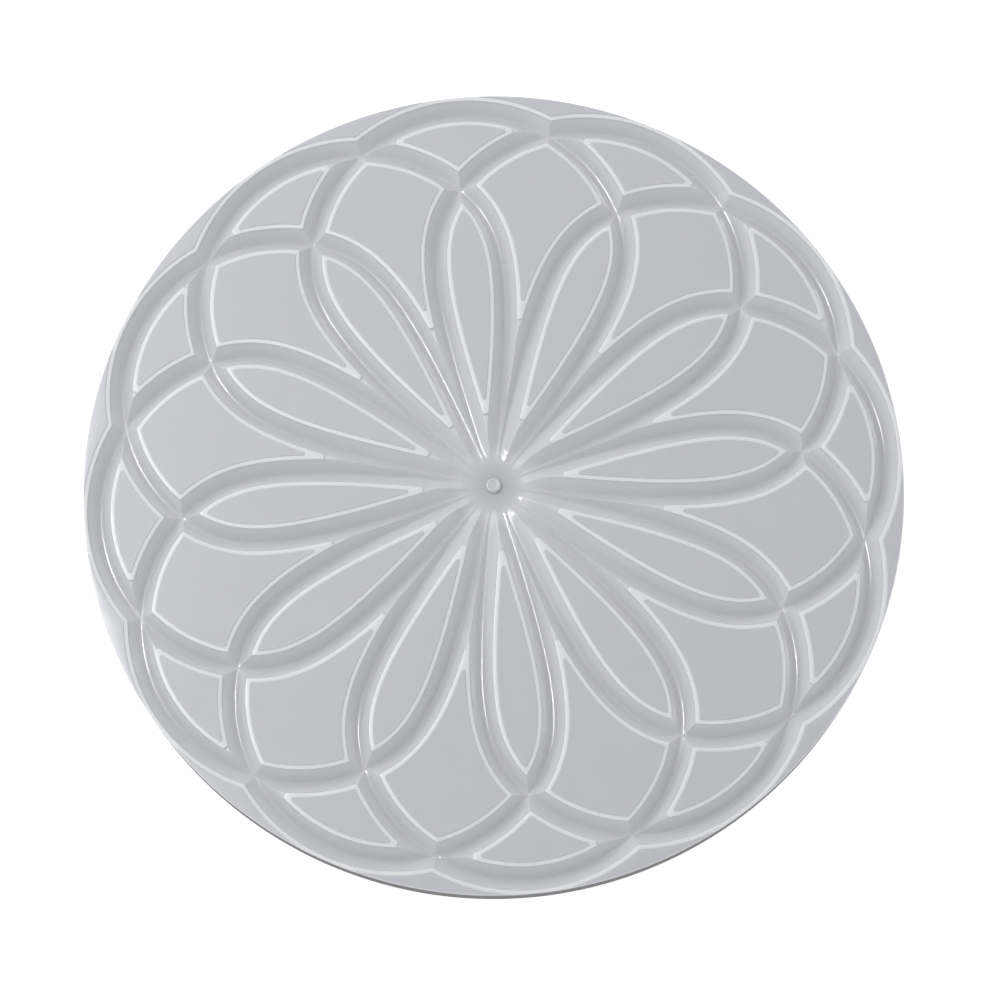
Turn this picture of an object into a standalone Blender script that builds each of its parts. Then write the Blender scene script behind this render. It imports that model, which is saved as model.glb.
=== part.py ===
"""Round silicone mould for casting an openwork resin wall decoration.

Twelve overlapping teardrop loops are sunk into the top as V-shaped grooves. What is left standing
between the grooves is a rim, twelve leaf panels, twelve wide panels and twelve fan panels, all on
one thin base sheet. The origin is at the middle of the underside, +Z points out of the grooves,
and loop number 1 lies along +X. Lengths are in metres and angles in degrees.
"""

import math

import bmesh
import bpy
from mathutils import Matrix, Vector

# Overall size
DISC_RADIUS = 0.150
DISC_HEIGHT = 0.012
BASE_TOP = 0.006
DRAFT = 0.0003
EDGE_BEVEL = 0.0004
GAP = 0.0003

# The centre line of one loop: a round end, then an easy curve on each side to the hub
LOOP_COUNT = 12
LOOP_CENTRE = 0.08535
LOOP_RADIUS = 0.0588
ROUND_END = 75.7
OUTER_HANDLE = 0.0268
HUB_HANDLE = 0.0740
SPOKE_ANGLE = 41.8

# The groove's sloping wall as (distance from the centre line, height), from the base sheet up
WALL = (
    (0.0012, BASE_TOP + GAP),
    (0.0028, 0.0090),
    (0.0044, DISC_HEIGHT),
)
STUD_RADIUS = 0.0029
STUD_TOP = 0.0074
STUD_DOME = 0.0006

# Points along each stretch of an outline
LEAF_POINTS = 11
WIDE_SIDE_POINTS = 9
WIDE_END_POINTS = 5
FAN_POINTS = 5
RIM_POINTS = 6
CURVE_POINTS = 160

PITCH = 360.0 / LOOP_COUNT
COLOUR_PANEL = (0.60, 0.62, 0.65, 1.0)
COLOUR_BASE = (0.52, 0.54, 0.56, 1.0)
COLOUR_STUD = (0.70, 0.72, 0.74, 1.0)


def clear_scene():
    for obj in list(bpy.data.objects):
        bpy.data.objects.remove(obj, do_unlink=True)


def silicone(name, colour):
    material = bpy.data.materials.new(name)
    material.use_nodes = True
    shader = material.node_tree.nodes["Principled BSDF"]
    shader.inputs["Base Color"].default_value = colour
    shader.inputs["Roughness"].default_value = 0.35
    shader.inputs["Metallic"].default_value = 0.0
    return material


def polar(radius, angle):
    return Vector((math.cos(math.radians(angle)), math.sin(math.radians(angle)))) * radius


def turned(points, angle):
    spin = Matrix.Rotation(math.radians(angle), 2)
    return [spin @ p for p in points]


def mirrored(points, axis=0.0):
    """The points on the other side of the line through the centre at this angle."""
    return turned([Vector((p.x, -p.y)) for p in turned(points, -axis)], axis)


def bezier(p0, p1, p2, p3, t):
    s = 1 - t
    return p0 * s**3 + p1 * (3 * s * s * t) + p2 * (3 * s * t * t) + p3 * t**3


def loop_side(count=CURVE_POINTS):
    """The left half of the loop on +X, from its tip round to the hub."""
    middle = Vector((LOOP_CENTRE, 0))
    arc = [middle + polar(LOOP_RADIUS, ROUND_END * i / count) for i in range(count + 1)]
    start = arc[-1]
    outer = start + polar(OUTER_HANDLE, ROUND_END + 90)
    hub = polar(HUB_HANDLE, SPOKE_ANGLE)
    end = Vector((0, 0))
    return arc + [bezier(start, outer, hub, end, i / count) for i in range(1, count + 1)]


def shifted(points, distance):
    """The line moved sideways: to its left for a positive distance, seen along its direction."""
    moved = []
    for i, point in enumerate(points):
        along = points[min(i + 1, len(points) - 1)] - points[max(i - 1, 0)]
        left = Vector((-along.y, along.x)).normalized()
        moved.append(point + left * distance)
    return moved


def crossing(line_a, line_b):
    """Where two lines cross: their places along each line and the point itself."""
    for i in range(len(line_a) - 1):
        a, along_a = line_a[i], line_a[i + 1] - line_a[i]
        for j in range(len(line_b) - 1):
            b, along_b = line_b[j], line_b[j + 1] - line_b[j]
            turn = along_a.x * along_b.y - along_a.y * along_b.x
            if abs(turn) < 1e-14:
                continue
            gap = b - a
            s = (gap.x * along_b.y - gap.y * along_b.x) / turn
            t = (gap.x * along_a.y - gap.y * along_a.x) / turn
            if 0 <= s <= 1 and 0 <= t <= 1:
                return i + s, j + t, a + along_a * s
    raise ValueError("the two lines don't cross")


def ray(angle):
    """A line from the hub outwards, for finding where a groove's side meets an axis."""
    return [polar(DISC_RADIUS * i / 30, angle) for i in range(1, 31)]


def stretch(line, start, end, count):
    """This many evenly spaced points of the line, between two places along it."""
    def at(place):
        i = min(int(place), len(line) - 2)
        return line[i].lerp(line[i + 1], place - i)

    fine = [at(start + (end - start) * i / 200) for i in range(201)]
    lengths = [0.0]
    for before, after in zip(fine, fine[1:]):
        lengths.append(lengths[-1] + (after - before).length)
    chosen = []
    step = 0
    for k in range(count):
        wanted = lengths[-1] * k / (count - 1)
        while step < 199 and lengths[step + 1] < wanted:
            step += 1
        span = lengths[step + 1] - lengths[step]
        chosen.append(fine[step].lerp(fine[step + 1], (wanted - lengths[step]) / span))
    return chosen


def closed_by_mirror(half, axis):
    """A whole outline from one half that starts and ends on the axis."""
    return half + mirrored(half[1:-1], axis)[::-1]


def leaf_outline(distance):
    """The leaf on +X lies inside the loops on either side of it."""
    side = shifted(turned(loop_side(), -PITCH), distance)
    inner = [p for p in side if p.y > -0.01]
    axis = ray(0)
    tip, _, _ = crossing(inner, axis)
    hub, _, _ = crossing(inner[::-1], axis)
    half = stretch(inner, tip, len(inner) - 1 - hub, LEAF_POINTS)
    return closed_by_mirror(half, 0)


def wide_outline(distance):
    """The wide panel lies outside the next loops but one, and inside the two nearest ones."""
    axis = PITCH / 2
    below = shifted(turned(loop_side(), -PITCH), -distance)
    outer = shifted(mirrored(turned(loop_side(), -PITCH)), -distance)
    hub, _, _ = crossing(below[::-1], ray(axis))
    corner, corner_outer, _ = crossing(below, outer)
    top, _, _ = crossing(outer, ray(axis))
    half = stretch(below, len(below) - 1 - hub, corner, WIDE_SIDE_POINTS)
    half += stretch(outer, corner_outer, top, WIDE_END_POINTS)[1:]
    return closed_by_mirror(half, axis)


def fan_outline(distance):
    """The fan lies inside its own loop's tip and outside the loops on either side."""
    below = shifted(mirrored(turned(loop_side(), -PITCH)), distance)
    tip = shifted(loop_side(), distance)
    start, _, _ = crossing(below, ray(0))
    corner, corner_tip, _ = crossing(below, tip)
    half = stretch(below, start, corner, FAN_POINTS)
    half += stretch(tip, corner_tip, 0, FAN_POINTS)[1:]
    return closed_by_mirror(half, 0)


def rim_outline(distance):
    """The scalloped inner edge of the rim, all the way round."""
    tip = shifted(loop_side(), -distance)
    end, _, _ = crossing(tip, ray(PITCH / 2))
    half = stretch(tip, 0, end, RIM_POINTS)
    scallop = mirrored(half[1:])[::-1] + half[:-1]
    return [p for k in range(LOOP_COUNT) for p in turned(scallop, PITCH * k)]


def side_radius(height):
    """The disc's radius at this height: its side leans in a little towards the top."""
    return DISC_RADIUS - DRAFT * height / DISC_HEIGHT


def add_ring(mesh, outline, height):
    return [mesh.verts.new((p.x, p.y, height)) for p in outline]


def bridge(mesh, lower, upper):
    """A band of faces between two rings with the same number of points."""
    count = len(lower)
    for i in range(count):
        j = (i + 1) % count
        mesh.faces.new((lower[i], lower[j], upper[j], upper[i]))


def finish_mesh(mesh, name):
    bmesh.ops.recalc_face_normals(mesh, faces=mesh.faces[:])
    data = bpy.data.meshes.new(name)
    mesh.to_mesh(data)
    mesh.free()
    return data


def place(name, data, material, collection, angle=0.0):
    obj = bpy.data.objects.new(name, data)
    obj.rotation_euler.z = math.radians(angle)
    if not data.materials:
        data.materials.append(material)
    collection.objects.link(obj)
    return obj


def island_mesh(name, outline):
    """A panel standing on the base: its outline shrinks as the groove's wall rises."""
    mesh = bmesh.new()
    rings = [add_ring(mesh, outline(distance), height) for distance, height in WALL]
    mesh.faces.new(rings[0])
    mesh.faces.new(rings[-1])
    for lower, upper in zip(rings, rings[1:]):
        bridge(mesh, lower, upper)
    return finish_mesh(mesh, name)


def rim_mesh(name):
    """A ring: plain and slightly drafted outside, scalloped inside."""
    mesh = bmesh.new()
    inner = [add_ring(mesh, rim_outline(distance), height) for distance, height in WALL]
    angles = [math.degrees(math.atan2(v.co.y, v.co.x)) for v in inner[0]]
    shoulder = DISC_HEIGHT - EDGE_BEVEL
    edge = (
        (side_radius(WALL[0][1]), WALL[0][1]),
        (side_radius(shoulder), shoulder),
        (side_radius(DISC_HEIGHT) - EDGE_BEVEL, DISC_HEIGHT),
    )
    outer = [add_ring(mesh, [polar(r, a) for a in angles], z) for r, z in edge]
    loop = inner[::-1] + outer
    for lower, upper in zip(loop, loop[1:] + loop[:1]):
        bridge(mesh, lower, upper)
    return finish_mesh(mesh, name)


def turned_mesh(name, profile, steps):
    """A solid of revolution from (radius, height) points, from the top's middle to the base's."""
    mesh = bmesh.new()
    top = mesh.verts.new((0, 0, profile[0][1]))
    bottom = mesh.verts.new((0, 0, profile[-1][1]))
    angles = [360.0 * k / steps for k in range(steps)]
    rings = [add_ring(mesh, [polar(r, a) for a in angles], z) for r, z in profile[1:-1]]
    for lower, upper in zip(rings, rings[1:]):
        bridge(mesh, lower, upper)
    for k in range(steps):
        after = (k + 1) % steps
        mesh.faces.new((top, rings[0][k], rings[0][after]))
        mesh.faces.new((bottom, rings[-1][after], rings[-1][k]))
    return finish_mesh(mesh, name)


def base_mesh():
    """The sheet under the grooves, with the same draft as the rim above it."""
    profile = (
        (0, BASE_TOP),
        (side_radius(BASE_TOP), BASE_TOP),
        (side_radius(0), 0),
        (0, 0),
    )
    return turned_mesh("base_sheet", profile, 8 * LOOP_COUNT)


def stud_mesh():
    """A low round stud with a domed edge."""
    profile = (
        (0, STUD_TOP),
        (STUD_RADIUS - 2 * STUD_DOME, STUD_TOP),
        (STUD_RADIUS - STUD_DOME / 2, STUD_TOP - STUD_DOME / 2),
        (STUD_RADIUS, STUD_TOP - STUD_DOME),
        (STUD_RADIUS, BASE_TOP + GAP),
        (0, BASE_TOP + GAP),
    )
    return turned_mesh("centre_stud", profile, 24)


def build():
    clear_scene()
    collection = bpy.data.collections.new("resin_casting_mould")
    bpy.context.scene.collection.children.link(collection)
    panel = silicone("silicone_panel", COLOUR_PANEL)
    base = silicone("silicone_base", COLOUR_BASE)
    stud = silicone("silicone_stud", COLOUR_STUD)
    place("base_sheet", base_mesh(), base, collection)
    place("outer_rim", rim_mesh("outer_rim"), panel, collection)
    place("centre_stud", stud_mesh(), stud, collection)
    for kind, outline in (("leaf", leaf_outline), ("wide", wide_outline), ("fan", fan_outline)):
        data = island_mesh(kind + "_island", outline)
        for k in range(LOOP_COUNT):
            place(f"{kind}_island_{k + 1:02d}", data, panel, collection, PITCH * k)


build()
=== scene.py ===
"""Looks of the round silicone casting mould: one continuous translucent skin and its hub stud."""

import math

import bmesh
import bpy
import numpy as np
from mathutils import Matrix, Vector


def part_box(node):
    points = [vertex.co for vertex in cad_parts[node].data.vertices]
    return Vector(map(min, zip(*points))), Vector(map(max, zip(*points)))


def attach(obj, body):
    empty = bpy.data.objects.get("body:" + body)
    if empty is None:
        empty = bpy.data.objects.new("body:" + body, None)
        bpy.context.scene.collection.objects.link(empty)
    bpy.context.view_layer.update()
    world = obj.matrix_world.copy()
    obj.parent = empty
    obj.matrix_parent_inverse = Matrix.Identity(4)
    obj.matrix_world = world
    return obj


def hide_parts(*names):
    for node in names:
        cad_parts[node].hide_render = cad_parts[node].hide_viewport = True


MM = 0.001

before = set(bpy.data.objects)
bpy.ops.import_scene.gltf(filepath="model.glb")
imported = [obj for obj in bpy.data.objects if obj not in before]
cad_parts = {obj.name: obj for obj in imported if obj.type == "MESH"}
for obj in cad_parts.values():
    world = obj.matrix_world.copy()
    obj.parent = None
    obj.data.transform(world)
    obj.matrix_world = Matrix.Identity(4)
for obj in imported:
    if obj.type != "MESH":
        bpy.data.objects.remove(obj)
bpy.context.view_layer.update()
_, base_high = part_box("base_sheet")
_, rim_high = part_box("outer_rim")
stud_low, stud_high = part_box("centre_stud")

# Levels, from the frame
FOOT_RADIUS = base_high.x
FLOOR = base_high.z
TOP = rim_high.z

# The centre line of one loop, as in the CAD
LOOP_COUNT = 12
PITCH = 360.0 / LOOP_COUNT
HALF = PITCH / 2
LOOP_CENTRE = 85.35 * MM
LOOP_RADIUS = 58.8 * MM
ROUND_END = 75.7
OUTER_HANDLE = 26.8 * MM
HUB_HANDLE = 74.0 * MM
SPOKE_ANGLE = 41.8

# The CAD's nodes that the skin stands in for
SKIN_NODES = [
    "base_sheet",
    "outer_rim",
    *[f"{kind}_island_{k + 1:02d}" for kind in ("leaf", "wide", "fan") for k in range(LOOP_COUNT)],
]

# The groove, a V with a rounded bottom, and the hub pool that all of them run into
GROOVE_FLOOR = FLOOR + 0.12 * MM
GROOVE_HALF = 4.25 * MM
WALL_SLOPE = 1.42
WALL_ROUND = 1.3 * MM
WALL_STEPS = 10
WALL_SPACING = 1.25
HUB_FLAT = 8.6 * MM
HUB_BLEND = 9.5 * MM
# Where the painted shade of the hub pool fades out, by distance from the centre
HUB_SHADE_FADE = (8.0 * MM, 14.0 * MM)

# The ledge round each panel, a step below its top, and the panel's soft edge
LEDGE = TOP - 0.28 * MM
LIP_RADIUS = 0.16 * MM
LIP_STEPS = 2
PANEL_EDGE = 5.65 * MM
PANEL_BEVEL = 0.10 * MM
PANEL_LEAN = 0.03 * MM
PANEL_CORNER = 0.70 * MM
PANEL_REACH = PANEL_EDGE + PANEL_CORNER
PANEL_STEPS = (
    (0.0, LEDGE),
    (PANEL_LEAN, TOP - PANEL_BEVEL),
    (PANEL_LEAN + PANEL_BEVEL, TOP),
)

# Where the narrow ends of the ledges are cut off square
LEAF_END = 26.0 * MM
WIDE_END = 62.8 * MM
FAN_LEAD = 2.6 * MM
HUB_LEAD = 3.0 * MM
LEAD_POWER = 4

# The disc's side and edges
DRAFT = 0.3 * MM
EDGE_RADIUS = 0.4 * MM
EDGE_DROP = 0.45 * MM
EDGE_STEPS = 4
SIDE_STEPS = 3
FOOT_BEVEL = 0.3 * MM
RIM_EDGE = FOOT_RADIUS - DRAFT - EDGE_RADIUS

# The hub stud: a small foot flare, a rounded ring edge and a shallow dish
STUD_RADIUS = stud_high.x
STUD_TOP = stud_high.z
STUD_FOOT = stud_low.z
STUD_FLARE = 0.1 * MM
STUD_FLARE_HEIGHT = 0.25 * MM
STUD_LEAN = 0.12 * MM
STUD_RING = 0.7 * MM
STUD_RING_STEPS = 4
STUD_SHOULDER = 0.12 * MM
STUD_DISH = 0.25 * MM
STUD_DISH_START = 1.5 * STUD_RING
STUD_DISH_BEND = (0.6, 0.8)

# Points along each stretch
SPOKE_POINTS = 60
FLANK_POINTS = 18
TIP_POINTS = 14
LEAD_POINTS = 3
CORNER_POINTS = 7
CURVE_POINTS = 240
FINE_POINTS = 400
EDGE_ARC_POINTS = 9
STUD_POINTS = 64
RAY_START = 0.3 * MM
RAY_END = 200 * MM
RAY_POINTS = 60
WELD = 2e-6
SKIN_SMOOTH = 40
STUD_SMOOTH = 50

# The skin's materials, in slot order
PANEL, STRIP, GROOVE, SIDE_WALL = range(4)

# Colours
PANEL_COLOUR = (0.474, 0.479, 0.511)
# Painted highlight: the ledge strips, the lip's rounding and the disc's rounded top edge are made
# lighter for the light they catch
STRIP_HIGHLIGHT_COLOUR = (0.635, 0.645, 0.66)
# Painted light: the grooves are made lighter than the panels to lift the shade in them
GROOVE_LIT_COLOUR = (0.582, 0.588, 0.613)
# Painted shade: the flat hub pool is made darker and bluer
HUB_SHADE_COLOUR = (0.455, 0.462, 0.500)
# Painted shade: the side and underside are made darker
SIDE_SHADE_COLOUR = (0.40, 0.395, 0.41)
STUD_COLOUR = (0.500, 0.510, 0.525)
SPECK_COLOUR = (0.9, 0.92, 0.94)

# Silicone: cloudy tint, dust specks, moulded grain, lines along the grooves, soft scatter
NOISE_RANGE = (0.3, 0.7)
CLOUD_SCALE = 14.0
SPECK_SCALE = 160.0
SPECK_EDGE = (0.020, 0.032)
SPECK_STRENGTH = 0.55
SPECK_SHARE = 0.05
GRAIN_SCALE = 900.0
GRAIN_DETAIL = 3.0
GRAIN_ROUGHNESS = 0.6
GRAIN_DEPTH = 0.05 * MM
ROUGH_SCALE = 160.0
ROUGH_SPREAD = 0.04
LINE_SCALE = 2.2
LINE_DETAIL = 2.0
LINE_STRENGTH = 0.35
LINE_DEPTH = 0.12 * MM
CREST_RADIUS = 0.4 * MM
CREST_SAMPLES = 4
SILICONE_IOR = 1.41
SUBSURFACE = 0.25
SCATTER_RADIUS = (1.0, 1.1, 1.25)
SCATTER_SCALE = 1.2 * MM

# The tent: (height from straight down at 0 to straight up at 1, level), and its brighter side
TENT_LEVELS = ((0.0, 0.15), (0.45, 0.15), (0.52, 1.0), (0.75, 1.0), (0.90, 0.75), (1.0, 0.6))
TENT_GAIN = 1.07
TENT_TILT = 0.16
BRIGHT_WAY = (-0.9, 0.2, 0.0)

# Soft boxes: name, place, size, power, and whether only reflections show it
SOFTBOXES = (
    ("left_box", (-1.3, 0.35, 0.65), 0.18, 11, True),
    ("crest_box", (-0.785, 0.186, 1.263), 0.20, 24, True),
    ("key_box", (-0.45, 0.5, 0.75), 0.8, 3.1, False),
)

# The floor
FLOOR_SIZE = 3.0
FLOOR_DROP = 0.5 * MM
FLOOR_COLOUR = (0.9, 0.9, 0.9, 1)
FLOOR_ROUGHNESS = 0.8
FLOOR_GLOW = 0.6
FLOOR_SMOOTH = 30

# The camera, round and above its target
CAMERA_AZIMUTH = -6.28
CAMERA_ELEVATION = 77.15
CAMERA_DISTANCE = 0.9575
CAMERA_LENS = 94.67
CAMERA_TARGET = (0.0016, -0.0070, 0.012)


def polar(radius, angle):
    turn = np.radians(angle)
    return np.stack([radius * np.cos(turn), radius * np.sin(turn)], axis=-1)


def turned(points, angle):
    c, s = math.cos(math.radians(angle)), math.sin(math.radians(angle))
    return points @ np.array([[c, s], [-s, c]])


def mirrored(points, axis=0.0):
    """The points on the other side of the line through the centre at this angle."""
    return turned(turned(points, -axis) * (1, -1), axis)


def loop_side():
    """The left half of the loop on +X, from its tip round to the hub."""
    steps = np.linspace(0, 1, CURVE_POINTS)
    arc = np.array([LOOP_CENTRE, 0]) + polar(LOOP_RADIUS, ROUND_END * steps)
    start = arc[-1]
    outer = start + polar(OUTER_HANDLE, ROUND_END + 90)
    hub = polar(HUB_HANDLE, SPOKE_ANGLE)
    t = steps[1:, None]
    easy = start * (1 - t) ** 3 + 3 * outer * t * (1 - t) ** 2 + 3 * hub * t**2 * (1 - t)
    return np.vstack([arc, easy])


def shifted(line, distance):
    """The line moved to the left of its own direction."""
    along = np.gradient(line, axis=0)
    along /= np.linalg.norm(along, axis=1)[:, None]
    return line + np.stack([-along[:, 1], along[:, 0]], axis=1) * distance


def cross(a, b):
    return a[..., 0] * b[..., 1] - a[..., 1] * b[..., 0]


def crossing(line_a, line_b, which=0):
    """The places along both lines where they cross, first or last along line_a."""
    along_a = np.diff(line_a, axis=0)[:, None]
    along_b = np.diff(line_b, axis=0)[None]
    gap = line_b[None, :-1] - line_a[:-1, None]
    turn = cross(along_a, along_b)
    turn[turn == 0] = np.inf
    s = cross(gap, along_b) / turn
    t = cross(gap, along_a) / turn
    hits = np.argwhere((s >= 0) & (s <= 1) & (t >= 0) & (t <= 1) & np.isfinite(turn))
    i, j = hits[which]
    return i + s[i, j], j + t[i, j]


def at(line, place):
    i = min(int(place), len(line) - 2)
    return line[i] + (line[i + 1] - line[i]) * (place - i)


def ray(angle):
    """A line from close to the hub to past the disc."""
    return polar(np.linspace(RAY_START, RAY_END, RAY_POINTS), angle)


def walk(line, start, end, count, lead_in=0.0, lead_out=0.0):
    """Evenly spaced points between two places on the line, and a few more along each lead."""
    fine = np.array([at(line, place) for place in np.linspace(start, end, FINE_POINTS)])
    steps = np.linalg.norm(np.diff(fine, axis=0), axis=1)
    lengths = np.concatenate([[0], np.cumsum(steps)])
    total = lengths[-1]
    wanted = np.linspace(lead_in, total - lead_out, count)
    if lead_in:
        wanted = np.concatenate([np.linspace(0, lead_in, LEAD_POINTS, endpoint=False), wanted])
    if lead_out:
        tail = np.linspace(total, total - lead_out, LEAD_POINTS, endpoint=False)
        wanted = np.concatenate([wanted, tail[::-1]])
    return np.stack([np.interp(wanted, lengths, fine[:, k]) for k in (0, 1)], axis=1)


def direction(vector):
    return math.degrees(math.atan2(vector[1], vector[0]))


def corner_arc(centre, radius, start, end):
    """An arc that turns the short way between two directions."""
    swing = (end - start + 180) % 360 - 180
    return centre + polar(radius, start + swing * np.linspace(0, 1, CORNER_POINTS))


SIDE = loop_side()
NEXT_SIDE = turned(SIDE, -PITCH)
NEXT_FLANK = mirrored(NEXT_SIDE)


def closed(half, axis):
    """The whole outline, from a half that starts and ends on the axis."""
    return np.vstack([half, mirrored(half, axis)[::-1][1:-1]])


def reach_place(line, axis, distance):
    """The first place on the line at this distance from the centre along the axis."""
    along = turned(line, -axis)[:, 0]
    last = np.argmax(along > distance)
    return last - 1 + (distance - along[last - 1]) / (along[last] - along[last - 1])


def length_between(line, start, end):
    points = walk(line, start, end, FINE_POINTS)
    return np.linalg.norm(np.diff(points, axis=0), axis=1).sum()


def hub_lead(line, start, axis, end_at, distance):
    """Blends from the shared first lead at the groove's centre to the cut end at its wall."""
    if not distance:
        return HUB_LEAD
    at_wall = length_between(line, start, reach_place(line, axis, end_at))
    return HUB_LEAD + (at_wall - HUB_LEAD) * (distance / GROOVE_HALF) ** LEAD_POWER


# Each cell's half outline at a distance from the loops' centre lines. The cut ones start or
# turn at the square end of the ledge instead of at the sharp corner.


def leaf_half(distance):
    line = shifted(NEXT_SIDE, distance)[::-1]
    hub = crossing(line, ray(0))[0] if distance else 0.0
    tip = crossing(line, ray(0), -1)[0]
    return walk(line, hub, tip, SPOKE_POINTS, lead_in=hub_lead(line, hub, 0, LEAF_END, distance))


def leaf_cut(distance, inset):
    line = shifted(NEXT_SIDE, distance)[::-1]
    start = reach_place(line, 0, LEAF_END + inset)
    tip = crossing(line, ray(0), -1)[0]
    return np.vstack([[[LEAF_END + inset, 0]], walk(line, start, tip, SPOKE_POINTS)])


def wide_lines(distance):
    below = shifted(NEXT_SIDE, -distance)[::-1]
    flank = shifted(NEXT_FLANK, -distance)
    corner, flank_corner = crossing(below, flank, -1)
    top = crossing(flank, ray(HALF))[0]
    return below, flank, corner, flank_corner, top


def wide_half(distance):
    below, flank, corner, flank_corner, top = wide_lines(distance)
    hub = crossing(below, ray(HALF))[0] if distance else 0.0
    lead = hub_lead(below, hub, HALF, WIDE_END, distance)
    side = walk(below, hub, corner, SPOKE_POINTS, lead_in=lead)
    return np.vstack([side, walk(flank, flank_corner, top, FLANK_POINTS, lead_out=FAN_LEAD)[1:]])


def wide_cut(distance, inset):
    below, flank, corner, flank_corner, top = wide_lines(distance)
    start = reach_place(below, HALF, WIDE_END + inset)
    side = walk(below, start, corner, SPOKE_POINTS)
    end = walk(flank, flank_corner, top, FLANK_POINTS, lead_out=FAN_LEAD)[1:]
    return np.vstack([polar(WIDE_END + inset, HALF)[None], side, end])


def fan_half(distance):
    inner = shifted(NEXT_FLANK, distance)
    outer = shifted(SIDE, distance)
    start = crossing(inner, ray(0))[0]
    corner, outer_corner = crossing(inner, outer)
    side = walk(inner, start, corner, FLANK_POINTS, lead_out=FAN_LEAD)
    return np.vstack([side, walk(outer, outer_corner, 0.0, TIP_POINTS, lead_in=FAN_LEAD)[1:]])


def fan_cut(distance, inset):
    inner = shifted(NEXT_FLANK, distance)
    outer = shifted(SIDE, distance)
    corner, outer_corner = crossing(inner, outer)
    apex = at(inner, corner)
    places = ((inner, corner), (outer, outer_corner))
    ways = [direction(at(line, place - 1) - apex) for line, place in places]
    bend = math.radians(ways[1] - ways[0]) / 2
    shift = inset * (1 / math.sin(bend) - 1) / math.cos(bend)
    half = [
        walk(inner, crossing(inner, ray(0))[0], corner, FLANK_POINTS, lead_out=FAN_LEAD - shift),
        walk(outer, outer_corner, 0.0, TIP_POINTS, lead_in=FAN_LEAD - shift),
    ]
    first, second = half[0][:FLANK_POINTS], half[1][LEAD_POINTS:]
    return np.vstack([first, [(first[-1] + second[0]) / 2], second])


def rim_half(distance):
    line = shifted(SIDE, -distance)
    return walk(line, 0.0, crossing(line, ray(HALF))[0], TIP_POINTS, lead_out=FAN_LEAD)


def rounded(stretches, corners, radius, first_way=None, last_way=None):
    """Joins the stretches of an outline by arcs about the corners."""
    pieces = []
    for index, corner in enumerate(corners):
        before = stretches[index - 1][-1] - corner if index else None
        after = stretches[index][0] - corner if index < len(stretches) else None
        start = first_way if before is None else direction(before)
        end = last_way if after is None else direction(after)
        pieces.append(corner_arc(corner, radius, start, end))
        if after is not None:
            pieces.append(stretches[index][1:-1])
    return np.vstack(pieces)



def leaf_panel(distance):
    line, far = (shifted(NEXT_SIDE, d)[::-1] for d in (distance, PANEL_REACH))
    hub, tip = (crossing(far, ray(0), which)[0] for which in (0, -1))
    side = walk(line, hub, tip, SPOKE_POINTS)
    return rounded([side], [at(far, hub), at(far, tip)], PANEL_REACH - distance, 180, 0)


def wide_panel(distance):
    below, flank = shifted(NEXT_SIDE, -distance)[::-1], shifted(NEXT_FLANK, -distance)
    far_below, far_flank, corner, flank_corner, top = wide_lines(PANEL_REACH)
    hub = crossing(far_below, ray(HALF))[0]
    side = walk(below, hub, corner, SPOKE_POINTS)
    end = walk(flank, flank_corner, top, FLANK_POINTS)
    corners = [at(far_below, hub), at(far_below, corner), at(far_flank, top)]
    return rounded([side, end], corners, PANEL_REACH - distance, HALF + 180, HALF)


def fan_panel(distance):
    inner, outer = shifted(NEXT_FLANK, distance), shifted(SIDE, distance)
    far_inner, far_outer = shifted(NEXT_FLANK, PANEL_REACH), shifted(SIDE, PANEL_REACH)
    start = crossing(far_inner, ray(0))[0]
    corner, outer_corner = crossing(far_inner, far_outer)
    side = walk(inner, start, corner, FLANK_POINTS)
    end = walk(outer, outer_corner, 0.0, TIP_POINTS)
    corners = [at(far_inner, start), at(far_inner, corner)]
    outline = rounded([side, end], corners, PANEL_REACH - distance, 180)
    return np.vstack([outline, end[-1:]])


def rim_panel(distance):
    """From where the panel's edge runs into the disc's edge, to the cusp."""
    line, far = shifted(SIDE, -distance), shifted(SIDE, -PANEL_REACH)
    start = np.argmax(np.hypot(*line.T) < RIM_EDGE)
    outside, inside = np.hypot(*line[start - 1]), np.hypot(*line[start])
    start = start - (RIM_EDGE - inside) / (outside - inside)
    cusp = crossing(far, ray(HALF))[0]
    side = walk(line, start, cusp, TIP_POINTS)
    last = at(far, cusp)
    way = direction(side[-1] - last)
    return np.vstack([side[:-1], corner_arc(last, PANEL_REACH - distance, way, HALF + 180)])


# The mesh


def add_ring(mesh, outline, height):
    """Vertices along an outline. The height is one value or one for each point."""
    heights = np.broadcast_to(height, len(outline))
    return [mesh.verts.new((x, y, z)) for (x, y), z in zip(outline, heights)]


def bridge(mesh, ring, above, slot, closed_ring=True):
    last = len(ring) if closed_ring else len(ring) - 1
    for i in range(last):
        j = (i + 1) % len(ring)
        face = mesh.faces.new((ring[i], ring[j], above[j], above[i]))
        face.material_index = slot


def cap(mesh, ring, slot):
    mesh.faces.new(ring).material_index = slot


def fill(mesh, rings, slot):
    """Fills the flat region between closed rings."""
    edges = []
    for ring in rings:
        for i, vert in enumerate(ring):
            edge = mesh.edges.get((ring[i - 1], vert)) or mesh.edges.new((ring[i - 1], vert))
            edges.append(edge)
    made = bmesh.ops.triangle_fill(mesh, edges=edges, use_beauty=True, normal=(0, 0, 1))
    for item in made["geom"]:
        if isinstance(item, bmesh.types.BMFace):
            item.material_index = slot


def smooth_step(value):
    value = np.clip(value, 0, 1)
    return value * value * (3 - 2 * value)


def groove_rise(distance):
    """The wall's height above the groove's floor, at a distance from its centre line."""
    return math.hypot(WALL_SLOPE * distance, WALL_ROUND) - WALL_ROUND


def groove_height(outline, rise):
    """The groove's height, eased down to the flat pool at the hub."""
    radius = np.hypot(*outline.T)
    ease = smooth_step((radius - HUB_FLAT) / HUB_BLEND)
    return FLOOR + (GROOVE_FLOOR - FLOOR + rise) * ease


def new_skin():
    """A mesh whose points can hold their distance from a groove's centre line, for the fine lines."""
    mesh = bmesh.new()
    mesh.verts.layers.float.new("across")
    return mesh


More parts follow.
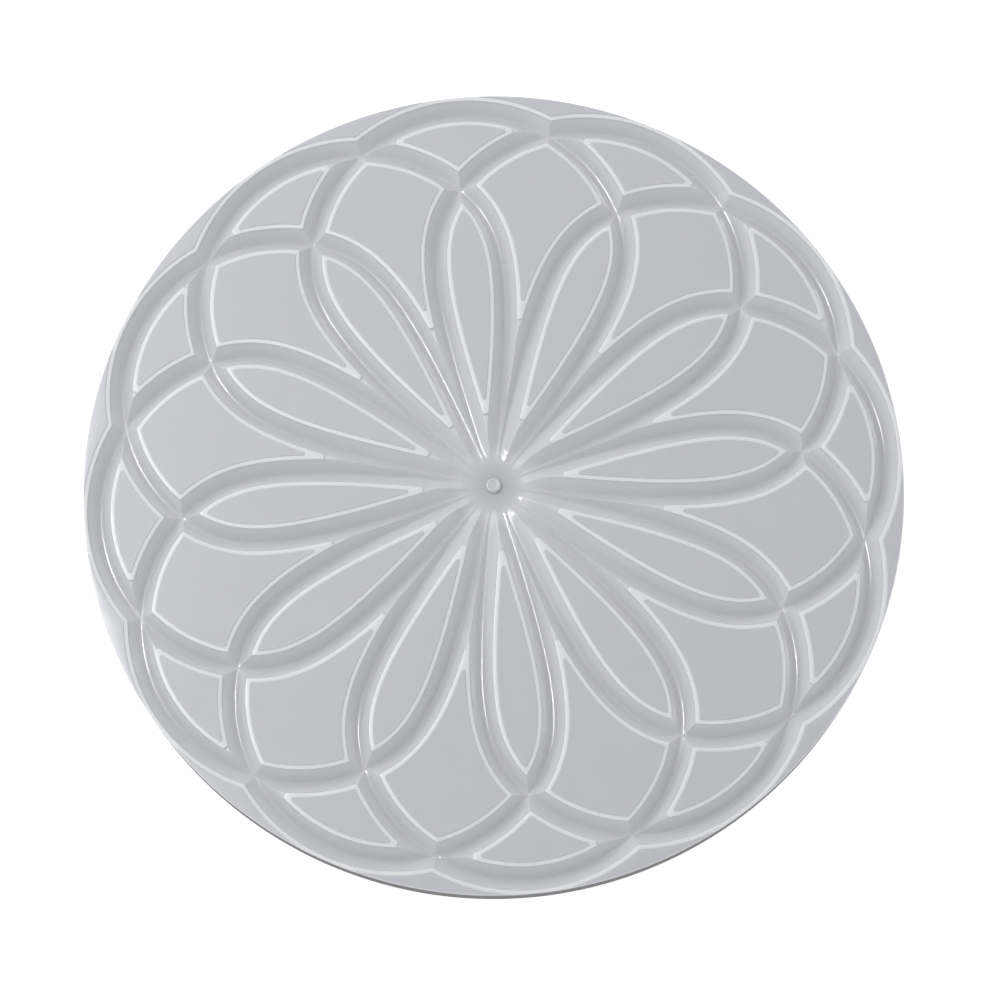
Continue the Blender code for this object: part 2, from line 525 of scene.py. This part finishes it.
def wall_rings(mesh, outline_at, side):
    """The groove's wall from its centre line up to the edge of the cell."""
    across = mesh.verts.layers.float["across"]
    rings = []
    for part in np.linspace(0, 1, WALL_STEPS):
        distance = GROOVE_HALF * part**WALL_SPACING
        outline = outline_at(distance)
        ring = add_ring(mesh, outline, groove_height(outline, groove_rise(distance)))
        for vert in ring:
            vert[across] = side * distance / MM
        rings.append(ring)
    for ring, above in zip(rings, rings[1:]):
        bridge(mesh, ring, above, GROOVE)
    return rings[-1], GROOVE_FLOOR + groove_rise(GROOVE_HALF)


def lip_rings(mesh, cut_at, start_height):
    """The upright lip above the groove's wall, rounded over onto the ledge."""
    rings = [add_ring(mesh, cut_at(0.0), start_height)]
    rings.append(add_ring(mesh, cut_at(0.0), LEDGE - LIP_RADIUS))
    for turn in np.linspace(0, 90, LIP_STEPS + 1)[1:]:
        inset = LIP_RADIUS * (1 - math.cos(math.radians(turn)))
        height = LEDGE - LIP_RADIUS * (1 - math.sin(math.radians(turn)))
        rings.append(add_ring(mesh, cut_at(inset), height))
    for ring, above in zip(rings, rings[1:]):
        # The upright part of the lip takes the groove's colour, the rounded part the painted highlight
        # colour
        bridge(mesh, ring, above, GROOVE if above is rings[1] else STRIP)
    return rings[0], rings[-1]


def panel_rings(mesh, outline_at, axis):
    """The panel's riser and softened edge, and its flat top."""
    rings = [add_ring(mesh, closed(outline_at(PANEL_EDGE + d), axis), z) for d, z in PANEL_STEPS]
    for ring, above in zip(rings, rings[1:]):
        bridge(mesh, ring, above, PANEL)
    fill(mesh, [rings[-1]], PANEL)
    return rings[0]


def ledge_ends(mesh, wall, lip, middles):
    """The low flat corners that the cut ends of the ledge leave.

    Each middle is a place in the lip ring; the wall ring has the sharp corner there instead.
    """
    for wall_place, lip_place in middles:
        around = [wall[(wall_place + k) % len(wall)] for k in range(-LEAD_POINTS, LEAD_POINTS + 1)]
        cap(mesh, [*around, lip[lip_place]], GROOVE)


def cell(mesh, half_at, cut_at, panel_at, axis, corner_places):
    """One leaf, wide or fan: its share of the groove, the lip, the ledge and the panel."""

    def full(distance):
        return closed(half_at(distance), axis)

    def cut(inset):
        return closed(cut_at(GROOVE_HALF + inset, inset), axis)

    wall, height = wall_rings(mesh, full, 1)
    lip, ledge = lip_rings(mesh, cut, height)
    ledge_ends(mesh, wall, lip, corner_places(len(wall), len(lip)))
    inner = panel_rings(mesh, panel_at, axis)
    fill(mesh, [ledge, inner], STRIP)


def hub_corner(wall_count, lip_count):
    return [(0, 0)]


def fan_corners(wall_count, lip_count):
    wall_place = FLANK_POINTS + LEAD_POINTS - 1
    lip_place = FLANK_POINTS
    return [(wall_place, lip_place), (wall_count - wall_place, lip_count - lip_place)]


def all_round(half):
    """A half scallop, from its middle to the cusp, repeated round the disc."""
    sector = np.vstack([half, mirrored(half, HALF)[::-1][1:-1]])
    return np.vstack([turned(sector, PITCH * k) for k in range(LOOP_COUNT)])


def rim(mesh):
    """Everything outside the loops: wall, lip, ledge, the cusp panels, the side and underside."""
    wall, height = wall_rings(mesh, lambda distance: all_round(rim_half(distance)), -1)
    rings = lip_rings(mesh, lambda inset: all_round(rim_half(GROOVE_HALF + inset)), height)
    halves = [rim_panel(PANEL_EDGE + d) for d, _ in PANEL_STEPS]
    starts = [direction(half[0]) for half in halves]
    ledge_loop, edge_top = [], []
    edge_angles = np.concatenate(
        [
            np.linspace(-starts[0], starts[0], EDGE_ARC_POINTS),
            starts[1:2],
            np.linspace(starts[2], PITCH - starts[2], 2 * EDGE_ARC_POINTS),
            [PITCH - starts[1]],
        ]
    )
    # Along the disc's edge, one loop's share: the ledge, a step up, the panel's top, a step down
    low = EDGE_ARC_POINTS
    high = 2 * EDGE_ARC_POINTS
    heights = [LEDGE] * low + [TOP - PANEL_BEVEL] + [TOP] * high + [TOP - PANEL_BEVEL]
    for k in range(LOOP_COUNT):
        edge_top.append(add_ring(mesh, polar(RIM_EDGE, edge_angles + PITCH * k), heights))
    for k in range(LOOP_COUNT):
        edge = edge_top[k]
        following = edge_top[(k + 1) % LOOP_COUNT]
        chains = []
        for (d, z), half, first, last in zip(
            PANEL_STEPS, halves, (low - 1, low, low + 1), (0, -1, -2)
        ):
            whole = np.vstack([half, mirrored(half, HALF)[::-1][1:]])[1:-1]
            inner = add_ring(mesh, turned(whole, PITCH * k), z)
            end = following[0] if last == 0 else edge[last]
            chains.append([edge[first], *inner, end])
        for chain, above in zip(chains, chains[1:]):
            bridge(mesh, chain, above, PANEL, closed_ring=False)
        outer = edge[low + 1 : low + 1 + high]
        fill(mesh, [chains[-1] + outer[1:-1][::-1]], PANEL)
        ledge_loop += edge[: low - 1] + chains[0][:-1]
    fill(mesh, [rings[1], ledge_loop], STRIP)
    outer_side(mesh, [vert for part in edge_top for vert in part], edge_angles, heights)


def side_radius(height):
    return FOOT_RADIUS - DRAFT * height / TOP


def outer_side(mesh, edge_ring, edge_angles, heights):
    """The rounded top edge, the side, the chamfer at its foot and the underside."""
    angles = np.concatenate([edge_angles + PITCH * k for k in range(LOOP_COUNT)])
    tops = np.tile(heights, LOOP_COUNT)
    low_edge = TOP - EDGE_DROP
    rings = [edge_ring]
    for turn in np.radians(np.linspace(90, 0, EDGE_STEPS + 1))[1:]:
        radius = RIM_EDGE + (side_radius(low_edge) - RIM_EDGE) * math.cos(turn)
        levels = low_edge + (tops - low_edge) * math.sin(turn)
        rings.append(add_ring(mesh, polar(radius, angles), levels))
    for height in np.linspace(low_edge, FOOT_BEVEL, SIDE_STEPS + 1)[1:]:
        rings.append(add_ring(mesh, polar(side_radius(height), angles), height))
    rings.append(add_ring(mesh, polar(FOOT_RADIUS - FOOT_BEVEL, angles), 0.0))
    # The rounded top edge gets the painted highlight colour
    for step, (ring, below) in enumerate(zip(rings, rings[1:])):
        bridge(mesh, below, ring, STRIP if step < EDGE_STEPS - 1 else SIDE_WALL)
    # The side and the underside get the painted shade colour
    cap(mesh, rings[-1][::-1], SIDE_WALL)


def skin_mesh():
    """Three cells repeated round the disc and the rim, welded into one closed skin."""
    mesh = new_skin()
    shapes = (
        (leaf_half, leaf_cut, leaf_panel, 0.0, hub_corner),
        (wide_half, wide_cut, wide_panel, HALF, hub_corner),
        (fan_half, fan_cut, fan_panel, 0.0, fan_corners),
    )
    sector = new_skin()
    for shape in shapes:
        cell(sector, *shape)
    pattern = bpy.data.meshes.new("sector")
    sector.to_mesh(pattern)
    sector.free()
    for k in range(LOOP_COUNT):
        start = len(mesh.verts)
        mesh.from_mesh(pattern)
        mesh.verts.ensure_lookup_table()
        added = mesh.verts[start:]
        turn = Matrix.Rotation(math.radians(PITCH * k), 3, "Z")
        bmesh.ops.rotate(mesh, verts=added, cent=(0, 0, 0), matrix=turn)
    bpy.data.meshes.remove(pattern)
    rim(mesh)
    bmesh.ops.remove_doubles(mesh, verts=mesh.verts, dist=WELD)
    bmesh.ops.dissolve_degenerate(mesh, edges=mesh.edges, dist=WELD)
    bmesh.ops.recalc_face_normals(mesh, faces=mesh.faces)
    return mesh


def object_from(mesh, name, materials, smooth_angle):
    data = bpy.data.meshes.new(name)
    mesh.to_mesh(data)
    mesh.free()
    for material in materials:
        data.materials.append(material)
    data.shade_smooth()
    data.set_sharp_from_angle(angle=math.radians(smooth_angle))
    piece = bpy.data.objects.new(name, data)
    bpy.context.scene.collection.objects.link(piece)
    return piece


# The hub stud


def stud_mesh():
    """A turned button: a small foot flare, a rounded ring edge and a shallow dish."""
    side = STUD_RADIUS - STUD_LEAN
    profile = [(STUD_RADIUS, STUD_FOOT), (STUD_RADIUS - STUD_FLARE, STUD_FOOT + STUD_FLARE_HEIGHT)]
    for turn in np.radians(np.linspace(0, 90, STUD_RING_STEPS + 1)):
        radius = side - STUD_RING * (1 - math.cos(turn))
        profile.append((radius, STUD_TOP - STUD_RING * (1 - math.sin(turn))))
    inner = side - STUD_DISH_START
    bend_in, bend_down = STUD_DISH_BEND
    profile += [(inner, STUD_TOP - STUD_SHOULDER), (bend_in * inner, STUD_TOP - bend_down * STUD_DISH)]
    mesh = bmesh.new()
    angles = np.linspace(0, 360, STUD_POINTS, endpoint=False)
    rings = [add_ring(mesh, polar(radius, angles), height) for radius, height in profile]
    for ring, above in zip(rings, rings[1:]):
        bridge(mesh, ring, above, 0)
    middle = mesh.verts.new((0, 0, STUD_TOP - STUD_DISH))
    for i, vert in enumerate(rings[-1]):
        mesh.faces.new((rings[-1][i - 1], vert, middle))
    cap(mesh, rings[0][::-1], 0)
    bmesh.ops.recalc_face_normals(mesh, faces=mesh.faces)
    return mesh


# Materials


def node_material(name):
    material = bpy.data.materials.new(name)
    material.use_nodes = True
    nodes = material.node_tree.nodes
    return material, nodes, material.node_tree.links, nodes["Principled BSDF"]


def noise(nodes, links, coordinates, scale, detail=2.0, roughness=0.5):
    texture = nodes.new("ShaderNodeTexNoise")
    texture.inputs["Scale"].default_value = scale
    texture.inputs["Detail"].default_value = detail
    texture.inputs["Roughness"].default_value = roughness
    links.new(coordinates, texture.inputs["Vector"])
    return texture.outputs["Fac"]


def spread(nodes, links, value, low, high, out_low, out_high):
    """The value's range stretched to another range."""
    ranged = nodes.new("ShaderNodeMapRange")
    for socket, number in zip(
        ("From Min", "From Max", "To Min", "To Max"), (low, high, out_low, out_high)
    ):
        ranged.inputs[socket].default_value = number
    links.new(value, ranged.inputs["Value"])
    return ranged.outputs["Result"]


def blend_colours(nodes, links, factor, first, second):
    mix = nodes.new("ShaderNodeMix")
    mix.data_type = "RGBA"
    # Sockets 6 and 7 are a colour mix's A and B, and output 2 is its colour
    for socket, colour in ((mix.inputs[6], first), (mix.inputs[7], second)):
        if isinstance(colour, tuple):
            socket.default_value = (*colour, 1.0)
        else:
            links.new(colour, socket)
    links.new(factor, mix.inputs[0])
    return mix.outputs[2]


def arithmetic(nodes, links, operation, first, second):
    node = nodes.new("ShaderNodeMath")
    node.operation = operation
    for socket, value in zip(node.inputs, (first, second)):
        if isinstance(value, float):
            socket.default_value = value
        else:
            links.new(value, socket)
    return node.outputs[0]


def bump(nodes, links, height, strength, depth):
    node = nodes.new("ShaderNodeBump")
    node.inputs["Strength"].default_value = strength
    node.inputs["Distance"].default_value = depth
    links.new(height, node.inputs["Height"])
    return node


def specked(nodes, links, place, tint):
    """A pale dust speck in a few of the cells."""
    cells = nodes.new("ShaderNodeTexVoronoi")
    cells.inputs["Scale"].default_value = SPECK_SCALE
    links.new(place, cells.inputs["Vector"])
    dot = spread(nodes, links, cells.outputs["Distance"], *SPECK_EDGE, SPECK_STRENGTH, 0.0)
    pick = nodes.new("ShaderNodeSeparateColor")
    links.new(cells.outputs["Color"], pick.inputs["Color"])
    chosen = arithmetic(nodes, links, "LESS_THAN", pick.outputs["Red"], SPECK_SHARE)
    factor = arithmetic(nodes, links, "MULTIPLY", dot, chosen)
    return blend_colours(nodes, links, factor, tint, SPECK_COLOUR)


def hub_painted_shade(nodes, links, place, tint):
    """Painted shade: a darker, bluer colour in the hub pool, which fades out along the grooves."""
    reach = nodes.new("ShaderNodeVectorMath")
    reach.operation = "LENGTH"
    links.new(place, reach.inputs[0])
    depth = spread(nodes, links, reach.outputs["Value"], *HUB_SHADE_FADE, 1, 0)
    return blend_colours(nodes, links, depth, tint, HUB_SHADE_COLOUR)


def tooled(nodes, links):
    """Softened crests, and the fine lines that cutting the master left along the grooves."""
    crest = nodes.new("ShaderNodeBevel")
    crest.samples = CREST_SAMPLES
    crest.inputs["Radius"].default_value = CREST_RADIUS
    across = nodes.new("ShaderNodeAttribute")
    across.attribute_name = "across"
    lines = nodes.new("ShaderNodeTexNoise")
    lines.noise_dimensions = "1D"
    lines.inputs["Scale"].default_value = LINE_SCALE
    lines.inputs["Detail"].default_value = LINE_DETAIL
    links.new(across.outputs["Fac"], lines.inputs["W"])
    relief = bump(nodes, links, lines.outputs["Fac"], LINE_STRENGTH, LINE_DEPTH)
    links.new(crest.outputs["Normal"], relief.inputs["Normal"])
    return relief.outputs["Normal"]


def silicone(name, colour, cloud, roughness, grain, specks=True, grooved=False):
    """Cast translucent silicone: cloudy colour, a fine moulded grain and a few dust specks."""
    material, nodes, links, shader = node_material(name)
    place = nodes.new("ShaderNodeTexCoord").outputs["Object"]
    wide = noise(nodes, links, place, CLOUD_SCALE)
    lighter = tuple(min(1.0, c * (1 + cloud)) for c in colour)
    darker = tuple(c * (1 - cloud) for c in colour)
    tint = blend_colours(nodes, links, spread(nodes, links, wide, *NOISE_RANGE, 0, 1), darker, lighter)
    if specks:
        tint = specked(nodes, links, place, tint)
    # Painted shade in the hub pool
    if grooved:
        tint = hub_painted_shade(nodes, links, place, tint)
    links.new(tint, shader.inputs["Base Color"])
    spots = noise(nodes, links, place, ROUGH_SCALE)
    limits = (roughness - ROUGH_SPREAD, roughness + ROUGH_SPREAD)
    links.new(spread(nodes, links, spots, *NOISE_RANGE, *limits), shader.inputs["Roughness"])
    fine = noise(nodes, links, place, GRAIN_SCALE, GRAIN_DETAIL, GRAIN_ROUGHNESS)
    relief = bump(nodes, links, fine, grain, GRAIN_DEPTH)
    if grooved:
        links.new(tooled(nodes, links), relief.inputs["Normal"])
    links.new(relief.outputs["Normal"], shader.inputs["Normal"])
    shader.inputs["IOR"].default_value = SILICONE_IOR
    shader.inputs["Subsurface Weight"].default_value = SUBSURFACE
    shader.inputs["Subsurface Radius"].default_value = SCATTER_RADIUS
    shader.inputs["Subsurface Scale"].default_value = SCATTER_SCALE
    return material


# The pieces

skin = object_from(
    skin_mesh(),
    "silicone_skin",
    [
        silicone("silicone_panel_top", PANEL_COLOUR, 0.006, 0.35, 0.10),
        # Painted highlight on the ledges, the lip's rounding and the top edge
        silicone("silicone_ledge_painted_highlight", STRIP_HIGHLIGHT_COLOUR, 0.01, 0.45, 0.20, specks=False),
        # Painted light in the grooves, with painted shade in the hub pool
        silicone("silicone_groove_painted_light", GROOVE_LIT_COLOUR, 0.01, 0.18, 0.03, grooved=True),
        # Painted shade on the side and underside
        silicone("silicone_side_painted_shade", SIDE_SHADE_COLOUR, 0.03, 0.38, 0.20),
    ],
    smooth_angle=SKIN_SMOOTH,
)
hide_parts(*SKIN_NODES)
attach(skin, "root")

stud = object_from(
    stud_mesh(),
    "hub_stud",
    [silicone("silicone_stud", STUD_COLOUR, 0.01, 0.28, 0.03, specks=False)],
    smooth_angle=STUD_SMOOTH,
)
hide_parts("centre_stud")
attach(stud, "root")


# The floor, the light and the camera


def floor_plane():
    mesh = bmesh.new()
    bmesh.ops.create_grid(mesh, x_segments=1, y_segments=1, size=FLOOR_SIZE)
    material, *_, shader = node_material("floor_white")
    shader.inputs["Base Color"].default_value = FLOOR_COLOUR
    shader.inputs["Roughness"].default_value = FLOOR_ROUGHNESS
    shader.inputs["Emission Color"].default_value = (1, 1, 1, 1)
    shader.inputs["Emission Strength"].default_value = FLOOR_GLOW
    floor = object_from(mesh, "floor", [material], FLOOR_SMOOTH)
    floor.location.z = -FLOOR_DROP
    floor.visible_diffuse = False
    floor.visible_glossy = False
    return floor


def dome():
    """A light tent: bright sides, a dimmer top, and one side a little brighter than the other."""
    world = bpy.data.worlds.new("studio")
    world.use_nodes = True
    bpy.context.scene.world = world
    nodes, links = world.node_tree.nodes, world.node_tree.links
    way = nodes.new("ShaderNodeTexCoord").outputs["Generated"]
    height = nodes.new("ShaderNodeSeparateXYZ")
    links.new(way, height.inputs[0])
    ramp = nodes.new("ShaderNodeValToRGB")
    ramp.color_ramp.interpolation = "EASE"
    ramp.color_ramp.elements.remove(ramp.color_ramp.elements[1])
    for place, level in TENT_LEVELS:
        stop = ramp.color_ramp.elements.new(place)
        stop.color = (level, level, level, 1)
    ramp.color_ramp.elements.remove(ramp.color_ramp.elements[0])
    links.new(spread(nodes, links, height.outputs["Z"], -1, 1, 0, 1), ramp.inputs[0])
    towards = nodes.new("ShaderNodeVectorMath")
    towards.operation = "DOT_PRODUCT"
    towards.inputs[1].default_value = Vector(BRIGHT_WAY).normalized()
    links.new(way, towards.inputs[0])
    tilt = spread(nodes, links, towards.outputs["Value"], -1, 1, 1 - TENT_TILT, 1 + TENT_TILT)
    level = arithmetic(nodes, links, "MULTIPLY", ramp.outputs["Color"], tilt)
    strength = arithmetic(nodes, links, "MULTIPLY", level, TENT_GAIN)
    links.new(strength, nodes["Background"].inputs["Strength"])
    nodes["Background"].inputs["Color"].default_value = (1, 1, 1, 1)


def softbox(name, place, size, power, only_gloss):
    """A square light that faces the middle of the mould."""
    data = bpy.data.lights.new(name, "AREA")
    data.size = size
    data.energy = power
    light = bpy.data.objects.new(name, data)
    light.location = place
    light.visible_diffuse = not only_gloss
    light.rotation_euler = (-Vector(place)).to_track_quat("-Z", "Y").to_euler()
    bpy.context.scene.collection.objects.link(light)


def add_camera():
    azimuth, elevation = math.radians(CAMERA_AZIMUTH), math.radians(CAMERA_ELEVATION)
    level = math.cos(elevation)
    away = Vector((math.sin(azimuth) * level, -math.cos(azimuth) * level, math.sin(elevation)))
    data = bpy.data.cameras.new("camera")
    data.lens = CAMERA_LENS
    camera = bpy.data.objects.new("camera", data)
    camera.location = Vector(CAMERA_TARGET) + away * CAMERA_DISTANCE
    camera.rotation_euler = (-away).to_track_quat("-Z", "Y").to_euler()
    bpy.context.scene.collection.objects.link(camera)
    bpy.context.scene.camera = camera


floor_plane()
dome()
for box in SOFTBOXES:
    softbox(*box)
add_camera()
bpy.context.scene.view_settings.view_transform = "Standard"
